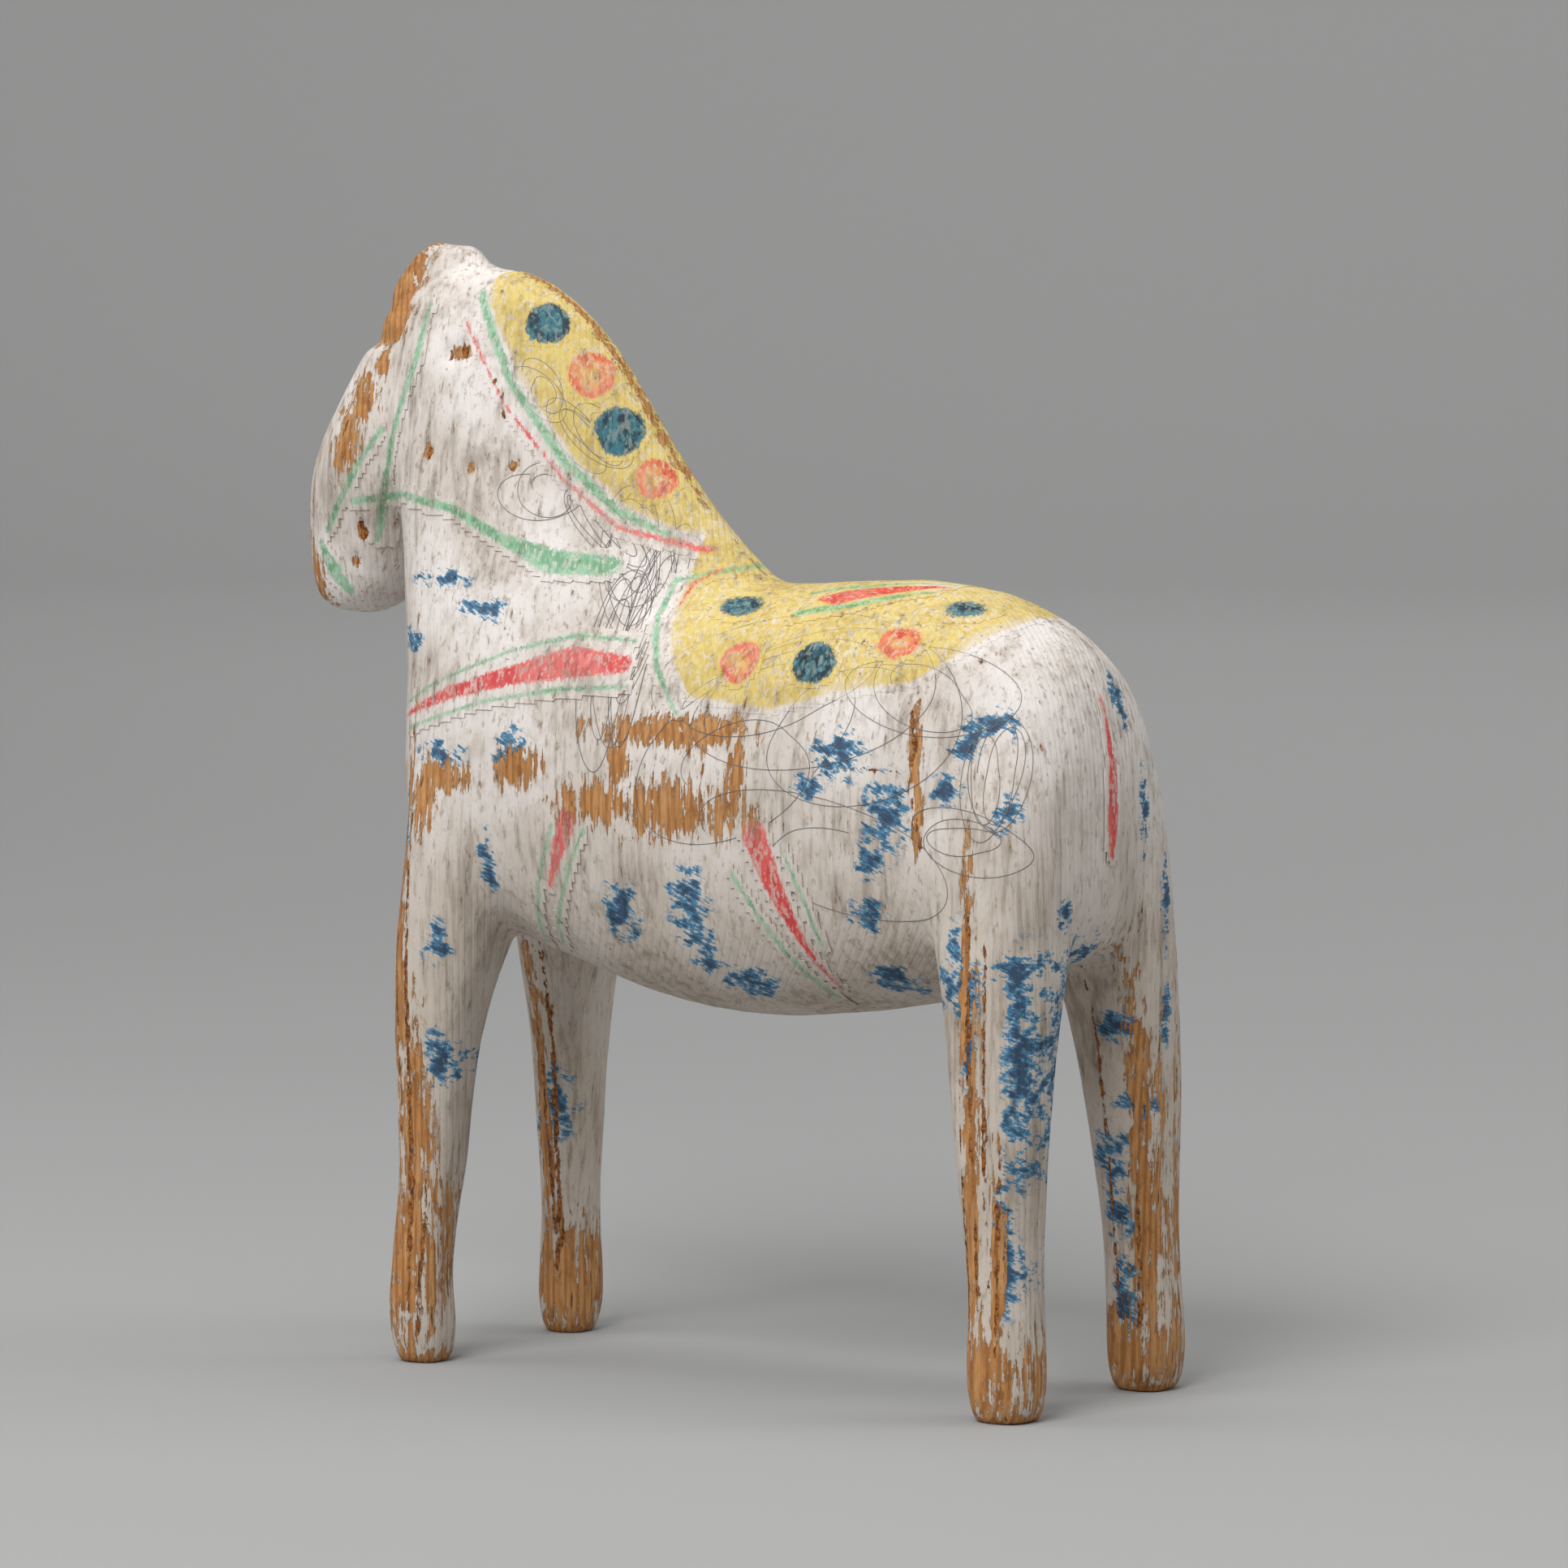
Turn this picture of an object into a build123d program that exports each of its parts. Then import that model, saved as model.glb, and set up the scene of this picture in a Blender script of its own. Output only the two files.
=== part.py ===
from build123d import *
import math
import os

# A folk-art horse: one carved block of pine and the films of brushed paint on it.
# Millimetres, +X towards the head, +Y to the horse's own left, +Z up, feet on Z = 0.
# Lengthwise measures start at the point midway between the feet, and MIDDLE_X then moves
# the finished parts back so that the origin is under the middle of the whole horse.

FILM = 0.3  # thickness of a film of brushed colour
MIDDLE_X = 16.375  # middle of the horse's length, measured from midway between the feet
REACH = 60  # longer than anything a cutting prism goes through
SPINE = 125  # marks on the back are cut from above this height
RUMP = -55  # marks on the rump are cut from behind this place
SPECK = 0.02  # cubic millimetres: smaller bits of film are left out
RING_POINTS = 14

# Torso: x, lowest, widest and highest z, half width
TORSO = (
    (-69.5, 92, 106, 113, 9.0),
    (-68.2, 85, 105, 120, 16.5),
    (-63.5, 79, 104, 131, 21.5),
    (-56.0, 76, 103, 137.5, 24.5),
    (-44.0, 72, 103, 142.0, 27.0),
    (-25.0, 68, 102, 143.5, 27.5),
    (0.0, 65.5, 101, 142.0, 27.5),
    (25.0, 68.5, 102, 143, 27.5),
    (46.0, 75, 104, 147, 27.0),
    (62.0, 80, 108, 148, 24.5),
    (71.5, 86, 109, 142, 17.5),
    (75.0, 94, 110, 132, 10.0),
)
# Neck: z, mane x, throat x, half width, thinning towards the mane
NECK = (
    (108.0, -6.0, 75.0, 25.0, 0.20),
    (128.0, -2.5, 77.0, 23.0, 0.30),
    (142.0, 2.0, 78.5, 19.5, 0.40),
    (152.0, 12.5, 79.5, 17.0, 0.46),
    (165.0, 24.0, 81.0, 15.0, 0.44),
    (178.0, 33.0, 82.0, 13.0, 0.42),
    (189.0, 43.0, 81.0, 10.5, 0.36),
    (195.0, 52.0, 78.0, 7.5, 0.25),
    (197.5, 58.5, 76.0, 4.5, 0.20),
)
# Head: distance along its axis from the poll, then depth to the face, to the jaw, half width
POLL = (74.0, 183.0)
HEAD_SLOPE = 64.5
HEAD = (
    (-6.0, 4.0, 9.0, 7.0),
    (2.0, 7.5, 13.0, 10.5),
    (17.0, 9.0, 15.0, 13.0),
    (31.0, 9.2, 15.0, 13.0),
    (42.5, 10.2, 11.0, 11.0),
    (49.0, 8.2, 7.0, 9.5),
    (53.0, 3.5, 3.0, 6.0),
)
# Legs and forelock: z, centre x, centre y, length, width
FRONT_LEG = (
    (0.0, 63.5, 22.7, 8.0, 8.4),
    (2.0, 63.5, 22.7, 9.6, 9.8),
    (34.0, 62.6, 21.6, 10.8, 11.0),
    (53.0, 62.0, 20.8, 13.0, 13.5),
    (68.0, 61.0, 19.4, 16.0, 17.2),
    (82.0, 59.0, 17.0, 20.0, 22.0),
    (96.0, 57.0, 15.0, 23.0, 25.0),
    (112.0, 55.0, 12.0, 24.0, 25.0),
    (126.0, 53.0, 8.0, 20.0, 20.0),
)
REAR_LEG = (
    (0.0, -62.5, 22.7, 10.0, 10.0),
    (2.0, -62.5, 22.7, 11.6, 11.4),
    (20.0, -62.0, 22.5, 12.4, 12.4),
    (42.0, -60.9, 21.8, 14.6, 14.0),
    (64.0, -59.6, 20.2, 18.0, 17.0),
    (84.0, -57.5, 16.8, 22.5, 22.5),
    (102.0, -55.0, 14.0, 27.0, 26.0),
    (118.0, -52.0, 11.0, 27.0, 24.0),
    (129.0, -48.0, 7.0, 20.0, 18.0),
)
FORELOCK = (
    (183.0, 74.5, 0.0, 16.0, 12.0),
    (190.0, 74.5, 0.0, 19.5, 12.5),
    (196.0, 74.0, 0.0, 18.5, 11.0),
    (199.5, 73.5, 0.0, 14.5, 8.5),
    (201.5, 73.0, 0.0, 8.0, 4.5),
)

# Side view, x and z: the lower edges of the two yellow panels
MANE_EDGE = ((59.5, 193), (50.5, 179), (39, 165), (29, 156.5), (19, 152), (8, 149.5))
SADDLE_EDGE = (
    (13.5, 144),
    (14, 139),
    (10, 131),
    (3.5, 123.5),
    (-14, 122),
    (-28, 125.5),
    (-43, 128),
    (-51, 134),
    (-57, 140),
)
# Dauber dots: x, z, length, height
MANE_BLUE = ((47.5, 188, 8.5, 8.5), (31.5, 169, 9.5, 9.5))
MANE_RED = ((38, 179, 9, 9), (24, 160.5, 8, 8))
SADDLE_BLUE = ((0.5, 139, 9.5, 4.5), (-21.5, 130.5, 9.5, 8), (-45, 140, 8, 3.5))
SADDLE_RED = ((-5.5, 130, 8.5, 8.5), (-37.5, 134.5, 9, 6))
# Brush strokes in the side view: (x, z, half width) along the middle of the stroke
MANE_GREEN = ((60.5, 193, 0.9), (51.5, 177.5, 0.9), (39.5, 163.5, 0.9), (29, 155, 0.9), (18, 150.2, 0.6))
MANE_PIPING = ((62, 188, 0.4), (52.5, 174, 0.4), (39.5, 160.5, 0.4), (28, 152, 0.5), (12, 148.2, 0.8))
BREAST_RED = ((69, 117, 0.5), (55, 122.3, 1.4), (41, 126, 2), (30, 128.5, 3), (19, 128.6, 1.8))
REIN = ((86, 155, 0.8), (73, 156.8, 0.9), (60, 154.8, 1), (48.5, 149.5, 1.2), (38, 145.8, 2.4), (27, 145.4, 1.8))
CHEEK_STRAP = ((70.5, 191, 0.6), (71.5, 181.5, 0.9), (75.5, 171.5, 0.9), (79.5, 160, 0.8), (83, 148, 0.6))
NOSE_STRAP = ((80, 168.5, 0.5), (85.5, 160.5, 0.9), (93, 149.5, 0.8))
BIT = ((95, 147, 0.8), (92.5, 142.5, 1.7), (90, 138.5, 1.1))
GIRTH_RED = (
    ((28, 101, 2.1), (30, 95.5, 1.6), (33, 88.5, 0.5)),
    ((-12.5, 100, 2.7), (-16.5, 90.5, 2), (-20, 82.5, 1.1), (-24, 73.5, 0.4)),
)
# On the back, x and y; on the rump, y and z
BACK_RED = ((-16, 10.5, 0.8), (-20, 9.8, 1.5), (-27, 7.2, 1), (-36, 3, 0.4))
TAIL_RED = ((0, 125.5, 0.3), (0.3, 114, 1.2), (0.6, 104, 1.8), (0.6, 97.5, 0.9))


def ring(plane, half_width, up, down, power, taper=0.0):
    """A closed carved outline: local x is its width and local y runs from down to up."""
    points = []
    for i in range(RING_POINTS):
        angle = 2 * math.pi * i / RING_POINTS
        cos, sin = math.cos(angle), math.sin(angle)
        x = math.copysign(abs(cos) ** (2 / power), cos) * half_width * (1 + taper * sin)
        y = math.copysign(abs(sin) ** (2 / power), sin) * (up if sin > 0 else down)
        points.append(plane.from_local_coords((x, y)))
    return make_face(Spline(*points, periodic=True))


def torso(grow):
    rings = []
    for x, low, widest, high, half in TORSO:
        if x == TORSO[0][0]:
            x -= grow
        if x == TORSO[-1][0]:
            x += grow
        plane = Plane((x, 0, widest), x_dir=(0, 1, 0), z_dir=(1, 0, 0))
        rings.append(ring(plane, half + grow, high - widest + grow, widest - low + grow, 2.4))
    return loft(rings)


def neck(grow):
    rings = []
    for z, mane, throat, half, thinning in NECK:
        if z == NECK[-1][0]:
            z += grow
        plane = Plane(((mane + throat) / 2, 0, z), x_dir=(0, 1, 0), z_dir=(0, 0, -1))
        reach = (throat - mane) / 2 + grow
        rings.append(ring(plane, half + grow, reach, reach, 2.3, thinning))
    return loft(rings)


def head(grow):
    rings = []
    slope = math.radians(HEAD_SLOPE)
    along = (math.cos(slope), 0, -math.sin(slope))
    for distance, face, jaw, half in HEAD:
        if distance == HEAD[-1][0]:
            distance += grow
        origin = (POLL[0] + along[0] * distance, 0, POLL[1] + along[2] * distance)
        plane = Plane(origin, x_dir=(0, 1, 0), z_dir=along)
        rings.append(ring(plane, half + grow, jaw + grow, face + grow, 2.4))
    return loft(rings)


def post(stations, side, grow, power=2.8):
    rings = []
    for z, x, y, length, width in stations:
        if z == stations[-1][0]:
            z += grow
        plane = Plane((x, side * y, z), x_dir=(1, 0, 0), z_dir=(0, 0, 1))
        rings.append(ring(plane, length / 2 + grow, width / 2 + grow, width / 2 + grow, power))
    return loft(rings)


def horse(grow=0.0):
    """The whole carving, or the same form made thicker all over by a paint film."""
    shape = torso(grow) + neck(grow) + head(grow) + post(FORELOCK, 1, grow, 2.2)
    for side in (1, -1):
        shape = shape + post(FRONT_LEG, side, grow) + post(REAR_LEG, side, grow)
    return shape


def stroke(points):
    """A brush mark as a flat outline, from its middle line and half widths."""
    left, right = [], []
    last = len(points) - 1
    for i, (a, b, half) in enumerate(points):
        before, after = points[max(i - 1, 0)], points[min(i + 1, last)]
        run = Vector(after[0] - before[0], after[1] - before[1], 0).normalized()
        left.append((a - run.Y * half, b + run.X * half))
        right.append((a + run.Y * half, b - run.X * half))
    return make_face(Polyline(*left, *right[::-1], close=True))


def dots(table):
    return [Pos(a, b) * Ellipse(length / 2, height / 2).face() for a, b, length, height in table]


def panel(edge, rise):
    """A painted panel that wraps over the back or the mane: everything above its lower edge."""
    low = Spline(*edge)
    start, end = low @ 0, low @ 1
    top = Polyline(end, (end.X, end.Y + rise), (start.X, start.Y + rise), start)
    return make_face([low, top])


def through_side(faces):
    """Prisms from flat outlines in x and z, through the left side of the horse."""
    view = Plane((0, 0, 0), x_dir=(1, 0, 0), z_dir=(0, -1, 0))
    return [extrude(view * face, amount=REACH, dir=(0, 1, 0)) for face in faces]


def through_back(faces):
    return [extrude(Pos(0, 0, SPINE) * face, amount=REACH, dir=(0, 0, 1)) for face in faces]


def through_rump(faces):
    view = Plane((RUMP, 0, 0), x_dir=(0, 1, 0), z_dir=(1, 0, 0))
    return [extrude(view * face, amount=REACH, dir=(-1, 0, 0)) for face in faces]


def whole_marks():
    """Painted marks whose two halves are one node, as the prisms that cut the left half."""
    yellow_mane = panel(MANE_EDGE, 30)
    yellow_saddle = panel(SADDLE_EDGE, 40)
    for dot in dots(MANE_BLUE + MANE_RED):
        yellow_mane = yellow_mane - dot
    for dot in dots(SADDLE_BLUE + SADDLE_RED):
        yellow_saddle = yellow_saddle - dot
    return {
        "mane_panel": through_side([yellow_mane]),
        "saddle_panel": through_side([yellow_saddle]),
        "back_strokes": through_back([stroke(BACK_RED)]),
    }


def paired_marks():
    """Painted marks with a node on each side of the horse, as the prisms that cut the left one."""
    outlines = {
        "mane_border": [stroke(MANE_GREEN)],
        "mane_piping": [stroke(MANE_PIPING)],
        "mane_blue_dots": dots(MANE_BLUE),
        "mane_red_dots": dots(MANE_RED),
        "saddle_blue_dots": dots(SADDLE_BLUE),
        "saddle_red_dots": dots(SADDLE_RED),
        "breast_strap": [stroke(BREAST_RED)],
        "rein": [stroke(REIN)],
        "cheek_strap": [stroke(CHEEK_STRAP)],
        "nose_strap": [stroke(NOSE_STRAP)],
        "bit": [stroke(BIT)],
        "girth_strokes": [stroke(points) for points in GIRTH_RED],
    }
    return {name: through_side(faces) for name, faces in outlines.items()}


def paint_film(prisms, skin, carving):
    film = (skin & Compound(children=prisms)) - carving
    return [piece for piece in film.solids() if piece.volume > SPECK]


def other_side(pieces):
    return [piece.mirror(Plane.XZ) for piece in pieces]


def make_nodes():
    carving, skin = horse(), horse(FILM)
    nodes = {"carved_block": carving.solids()}
    nodes["tail_stroke"] = paint_film(through_rump([stroke(TAIL_RED)]), skin, carving)
    for name, prisms in whole_marks().items():
        left = paint_film(prisms, skin, carving)
        nodes[name] = left + other_side(left)
    for name, prisms in paired_marks().items():
        left = paint_film(prisms, skin, carving)
        nodes[name + "_left"] = left
        nodes[name + "_right"] = other_side(left)
    return nodes


if __name__ == "__main__":
    os.makedirs("parts", exist_ok=True)
    for node, solids in make_nodes().items():
        export_step(Pos(-MIDDLE_X, 0, 0) * Compound(children=solids), f"parts/{node}.step")
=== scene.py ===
"""A worn folk-art horse, carved from one block of pine and painted by hand."""

from __future__ import annotations

import json
import logging
import math
from dataclasses import dataclass
from enum import Enum
from functools import partial

import bmesh
import bpy
import numpy as np
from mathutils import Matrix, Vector, noise
from mathutils.bvhtree import BVHTree

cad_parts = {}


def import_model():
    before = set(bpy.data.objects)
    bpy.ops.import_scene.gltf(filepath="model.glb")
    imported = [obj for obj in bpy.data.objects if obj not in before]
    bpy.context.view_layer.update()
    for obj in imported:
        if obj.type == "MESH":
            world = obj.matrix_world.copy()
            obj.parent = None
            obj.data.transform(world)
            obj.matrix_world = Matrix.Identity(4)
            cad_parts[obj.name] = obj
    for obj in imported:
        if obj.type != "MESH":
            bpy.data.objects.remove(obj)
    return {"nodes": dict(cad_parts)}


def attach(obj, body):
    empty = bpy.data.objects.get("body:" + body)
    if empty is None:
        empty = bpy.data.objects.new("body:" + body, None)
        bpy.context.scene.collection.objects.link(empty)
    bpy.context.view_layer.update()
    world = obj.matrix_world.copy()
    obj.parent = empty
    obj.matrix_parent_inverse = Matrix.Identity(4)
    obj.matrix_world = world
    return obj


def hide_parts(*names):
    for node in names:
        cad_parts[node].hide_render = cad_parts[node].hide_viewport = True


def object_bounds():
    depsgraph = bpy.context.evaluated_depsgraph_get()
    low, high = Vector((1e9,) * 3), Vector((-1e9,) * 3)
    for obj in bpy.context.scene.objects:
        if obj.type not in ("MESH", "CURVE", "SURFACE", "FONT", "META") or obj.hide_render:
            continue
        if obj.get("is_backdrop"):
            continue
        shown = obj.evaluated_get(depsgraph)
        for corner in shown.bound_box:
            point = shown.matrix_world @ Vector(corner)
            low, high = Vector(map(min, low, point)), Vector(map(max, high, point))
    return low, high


LOG = logging.getLogger("horse")
MM = 0.001
MIDDLE_X = 16.375  # the origin lies this far ahead of the point midway between the feet, in mm

Stroke = tuple[tuple[float, float, float], ...]
Blob = tuple[float, float, float, float]
Value = bpy.types.NodeSocket | float | tuple[float, ...]


class View(Enum):
    """The flat view in which a painted mark's places are given."""

    SIDE = "x and z, seen from the side"
    BACK = "x and y, seen from above"
    RUMP = "y and z, seen from behind"


class Side(Enum):
    """The side of the horse that a mark is on."""

    LEFT = 1
    RIGHT = -1
    BOTH = 0


class Paint(Enum):
    """The painter's pots."""

    YELLOW = "yellow_paint"
    GREEN = "green_paint"
    RED = "red_paint"
    BLUE = "blue_paint"


@dataclass(frozen=True)
class Mark:
    """One painted mark.

    Args:
        name: piece name, and the CAD film it stands for when film is true.
        paint: which colour it is.
        strokes: middle lines with half widths, in mm.
        blobs: ellipses as two places and two sizes, in mm.
        panel: lower edge of a panel that wraps over the back, in mm.
        view: the flat view that the places are given in.
        sides: sides of the horse it is on, one piece each.
        film: whether CAD has a film of that name.
        ring: whether the blobs are thin in the middle, as a half-dry dauber leaves them.
    """

    name: str
    paint: Paint
    strokes: tuple[Stroke, ...] = ()
    blobs: tuple[Blob, ...] = ()
    panel: tuple[tuple[float, float], ...] = ()
    view: View = View.SIDE
    sides: tuple[Side, ...] = (Side.LEFT, Side.RIGHT)
    film: bool = True
    ring: bool = False

    def node(self, side: Side) -> str:
        """The piece's name on one side."""
        return self.name if side is Side.BOTH else f"{self.name}_{side.name.lower()}"


MARKS = (
    Mark("mane_panel", Paint.YELLOW, sides=(Side.BOTH,),
         panel=((59.5, 193), (50.5, 179), (39, 165), (29, 156.5), (19, 152), (8, 149.5))),
    Mark("saddle_panel", Paint.YELLOW, sides=(Side.BOTH,),
         panel=((13.5, 144), (14, 139), (10, 131), (3.5, 123.5), (-14, 122), (-28, 125.5), (-43, 128),
                (-51, 134), (-57, 140))),
    Mark("mane_border", Paint.GREEN,
         strokes=(((60.5, 193, 0.9), (51.5, 177.5, 0.9), (39.5, 163.5, 0.9), (29, 155, 0.9),
                   (18, 150.2, 0.6)),)),
    Mark("mane_piping", Paint.RED,
         strokes=(((62, 188, 0.4), (52.5, 174, 0.4), (39.5, 160.5, 0.4), (28, 152, 0.5), (12, 148.2, 0.8)),)),
    Mark("mane_blue_dots", Paint.BLUE, blobs=((47.5, 188, 8.5, 8.5), (31.5, 169, 9.5, 9.5))),
    Mark("mane_red_dots", Paint.RED, blobs=((38, 179, 9, 9), (24, 160.5, 8, 8)), ring=True),
    Mark("saddle_border", Paint.GREEN, film=False,
         strokes=(((5, 145.5, 0.5), (15.5, 143, 0.7), (16, 137, 0.8), (11.5, 128, 0.8), (5.5, 120.5, 0.5)),)),
    Mark("saddle_piping", Paint.RED, film=False,
         strokes=(((9, 145, 0.4), (12.5, 142.5, 0.5), (13, 139, 0.4)),)),
    Mark("saddle_blue_dots", Paint.BLUE,
         blobs=((0.5, 139, 9.5, 4.5), (-21.5, 130.5, 9.5, 8), (-45, 140, 8, 3.5))),
    Mark("saddle_red_dots", Paint.RED, blobs=((-5.5, 130, 8.5, 8.5), (-37.5, 134.5, 9, 6)), ring=True),
    Mark("back_strokes", Paint.RED, view=View.BACK, sides=(Side.BOTH,),
         strokes=(((-16, 11, 1.2), (-20, 10.8, 2.6), (-27, 8.6, 2.2), (-38, 4, 0.6)),
                  ((-16, -11, 1.2), (-20, -10.8, 2.6), (-27, -8.6, 2.2), (-38, -4, 0.6)))),
    Mark("back_borders", Paint.GREEN, view=View.BACK, sides=(Side.BOTH,), film=False,
         strokes=(((-12, 8.8, 0.7), (-24, 5.6, 0.9), (-38, 1.6, 0.6)),
                  ((-13, 15.2, 0.9), (-26, 13, 1), (-37, 7.4, 0.6)),
                  ((-12, -8.8, 0.7), (-24, -5.6, 0.9), (-38, -1.6, 0.6)),
                  ((-13, -15.2, 0.9), (-26, -13, 1), (-37, -7.4, 0.6)))),
    Mark("breast_strap", Paint.RED,
         strokes=(((69, 117, 0.5), (55, 122.3, 1.4), (41, 126, 2), (30, 128.5, 3), (19, 128.6, 1.8)),)),
    Mark("breast_border", Paint.GREEN, film=False,
         strokes=(((68, 119.6, 0.5), (55, 125.4, 0.5), (42, 130.4, 0.5), (30, 133.2, 0.6), (18, 132.6, 0.5)),
                  ((67, 115, 0.5), (48, 120.8, 0.5), (32, 123.6, 0.6), (17, 124.8, 0.5)))),
    Mark("rein", Paint.GREEN,
         strokes=(((86, 155, 0.8), (73, 156.8, 0.9), (60, 154.8, 1), (48.5, 149.5, 1.2), (38, 145.8, 2.4),
                   (27, 145.4, 1.8)),)),
    Mark("cheek_strap", Paint.GREEN,
         strokes=(((70.5, 191, 0.6), (71.5, 181.5, 0.9), (75.5, 171.5, 0.9), (79.5, 160, 0.8),
                   (83, 148, 0.6)),)),
    Mark("nose_strap", Paint.GREEN, strokes=(((80, 168.5, 0.5), (85.5, 160.5, 0.9), (93, 149.5, 0.8)),)),
    Mark("bit", Paint.GREEN, strokes=(((95, 147, 0.8), (92.5, 142.5, 1.7), (90, 138.5, 1.1)),)),
    Mark("girth_strokes", Paint.RED,
         strokes=(((28, 101, 2.1), (30, 95.5, 1.6), (33, 88.5, 0.5)),
                  ((-12.5, 100, 2.7), (-16.5, 90.5, 2), (-20, 82.5, 1.1), (-24, 73.5, 0.4)))),
    Mark("girth_border", Paint.GREEN, film=False,
         strokes=(((31.5, 99.5, 0.5), (35, 90, 0.6), (39.5, 77.5, 0.5)),
                  ((24.5, 99, 0.5), (30, 88, 0.6), (35, 77.5, 0.5)),
                  ((-7.5, 93, 0.5), (-15, 81.5, 0.7), (-22, 71, 0.6)),
                  ((-18.5, 98, 0.5), (-22.5, 88.5, 0.6), (-24.5, 81, 0.5)))),
    Mark("tail_stroke", Paint.RED, view=View.RUMP, sides=(Side.BOTH,),
         strokes=(((0, 125.5, 0.3), (0.3, 114, 1.2), (0.6, 104, 1.8), (0.6, 97.5, 0.9)),)),
)

# Blue dabs: x, z, length, height
DABS_LEFT = (
    (61, 142, 12, 3), (50, 137, 10, 4), (68, 131, 6, 4), (57, 111, 11, 4), (66, 100, 3, 12), (41, 112, 6, 8),
    (47, 92, 3, 11), (57, 77, 5, 7), (57.5, 56, 4, 9), (17.5, 85, 7, 10), (2.5, 86, 8, 14), (1, 77, 6, 6),
    (-6, 73, 10, 5), (-30, 115, 10, 8), (-23, 109, 6, 4), (-40, 105, 8, 12), (-36, 97, 7, 6), (-35, 87, 7, 5),
    (-36, 75, 8, 5), (-58, 121, 8, 5), (-54, 117, 5, 4), (-52, 110, 6, 5), (-63, 106, 4, 6), (-55, 84, 4, 8),
    (-56, 76, 9, 9), (-66, 79, 6, 6), (-67, 62, 4, 34), (-65, 37, 3, 12), (-66, 26, 3, 12), (-58, 66, 3, 12),
)
DABS_RIGHT = (
    (58, 110, 8, 5), (44, 92, 4, 9), (12, 84, 7, 10), (-12, 78, 8, 6), (-34, 112, 9, 6), (-52, 116, 6, 5),
    (-46, 98, 5, 8), (-63, 88, 4, 14), (-63, 66, 6, 5), (-64, 53, 6, 4), (-60, 42, 7, 10), (-61, 32, 6, 8),
    (-62, 17, 5, 15), (61, 44, 6, 12), (64, 38, 4, 6),
)
DABS_RUMP = ((14, 88, 4, 6), (-11, 105, 3, 14), (-6, 124, 4, 8), (-19, 88, 3, 16), (-19, 68, 3, 10),
             (-15, 52, 5, 5))
# Bare, worn wood: x, z, length, height
BARE_LEFT = (
    (6, 117, 28, 5), (-3, 117.5, 14, 5), (20, 104, 20, 7), (6, 103.5, 26, 9), (-8, 111, 4, 14),
    (17, 111, 5, 8), (56, 107, 11, 5), (61, 103, 5, 12),
    (39, 109, 9, 7), (-45, 116, 2.5, 16), (-46, 104, 2, 10), (66, 72, 3.5, 70), (62, 44, 5, 40),
    (64, 20, 14, 30),
    (-57, 78, 2, 44), (-59, 40, 3.5, 60), (-64, 24, 2.5, 40), (-62, 8, 16, 14), (62.5, 182.5, 3.6, 2.4),
    (66.9, 164.7, 1.3, 2.4), (57.2, 162, 1.2, 1.7), (49, 162.5, 1.2, 2), (86, 150, 1.7, 3.4),
    (88, 144, 1.4, 2.6),
    (88, 166, 6, 10), (84.5, 174, 6, 8), (81, 180, 4, 4), (98, 139, 5, 12),
)
BARE_RIGHT = (
    (20, 112, 24, 8), (-20, 104, 12, 16), (54, 100, 8, 10), (62, 10, 16, 18), (64, 44, 3, 60),
    (-66, 36, 4, 70),
    (-62, 7, 16, 14), (60, 170, 3, 3), (90, 152, 3, 5), (86, 168, 8, 12),
)
# Drying cracks that show dark wood, and on the left short dark strokes of painted shade in the pits: x and z
# along them, and half the width
CRACKS_AND_PIT_SHADE_LEFT = (
    ((-43, 125, 0.2), (-45, 118, 0.5), (-44.5, 110, 0.3), (-47, 99, 0.4)),
    ((-24, 113.5, 0.1), (-34, 112.5, 0.3), (-45, 113, 0.2)),
    ((-57.5, 92, 0.3), (-58, 70, 0.5), (-59, 46, 0.3), (-60, 22, 0.4)),
    ((-61, 84, 0.2), (-61.5, 52, 0.5), (-62, 24, 0.3)),
    ((-64.5, 60, 0.2), (-64, 30, 0.4), (-64, 12, 0.3)), ((-56, 60, 0.1), (-57, 34, 0.4), (-58, 14, 0.3)),
    ((64, 100, 0.3), (63.5, 66, 0.5), (63, 30, 0.6), (63, 8, 0.4)),
    ((67, 92, 0.2), (66, 60, 0.4), (65.5, 40, 0.2)),
    ((60, 34, 0.2), (60.5, 18, 0.5), (61, 6, 0.3)), ((-1, 112, 0.2), (-1.5, 99, 0.3)),
    ((8, 106, 0.2), (8, 97, 0.3)),
    # Painted shade: short dark strokes in the pits of the neck and the cheek
    ((62, 183.2, 0.7), (61.4, 181.8, 0.6)), ((64.6, 183, 0.5), (64.3, 181.6, 0.6)),
    ((67, 165.6, 0.3), (66.7, 163.6, 0.6)),
    ((57.3, 162.6, 0.3), (57.1, 161.4, 0.5)), ((48.9, 163.4, 0.2), (49, 162, 0.4)),
    ((85.6, 150.8, 0.5), (85.3, 148.8, 0.9)),
    ((87.5, 144.6, 0.2), (87.3, 143.2, 0.5)), ((55, 178.6, 0.2), (54.6, 177.4, 0.5)),
    ((52, 172, 0.2), (51.7, 171, 0.4)),
)
CRACKS_RIGHT = (
    ((-58, 86, 0.2), (-59, 54, 0.4), (-60.5, 14, 0.3)), ((-65, 40, 0.2), (-65, 12, 0.5)),
    ((64, 58, 0.3), (63, 12, 0.6)),
    ((60, 88, 0.4), (61.5, 40, 0.6), (62, 16, 0.3)), ((18, 118, 0.2), (17, 96, 0.4)),
)
# Carved pits in the neck and the cheek, left side: x, z, radius, depth
PITS = (
    (61.5, 183, 1.5, 1.0), (64.5, 182.3, 1.3, 0.9), (66.9, 164.7, 1.2, 1.0), (57.2, 162, 1.0, 0.8),
    (48.9, 162.5, 1.0, 0.8), (85.5, 149.8, 1.4, 1.1), (87.4, 144.1, 1.0, 0.7),
)


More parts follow.
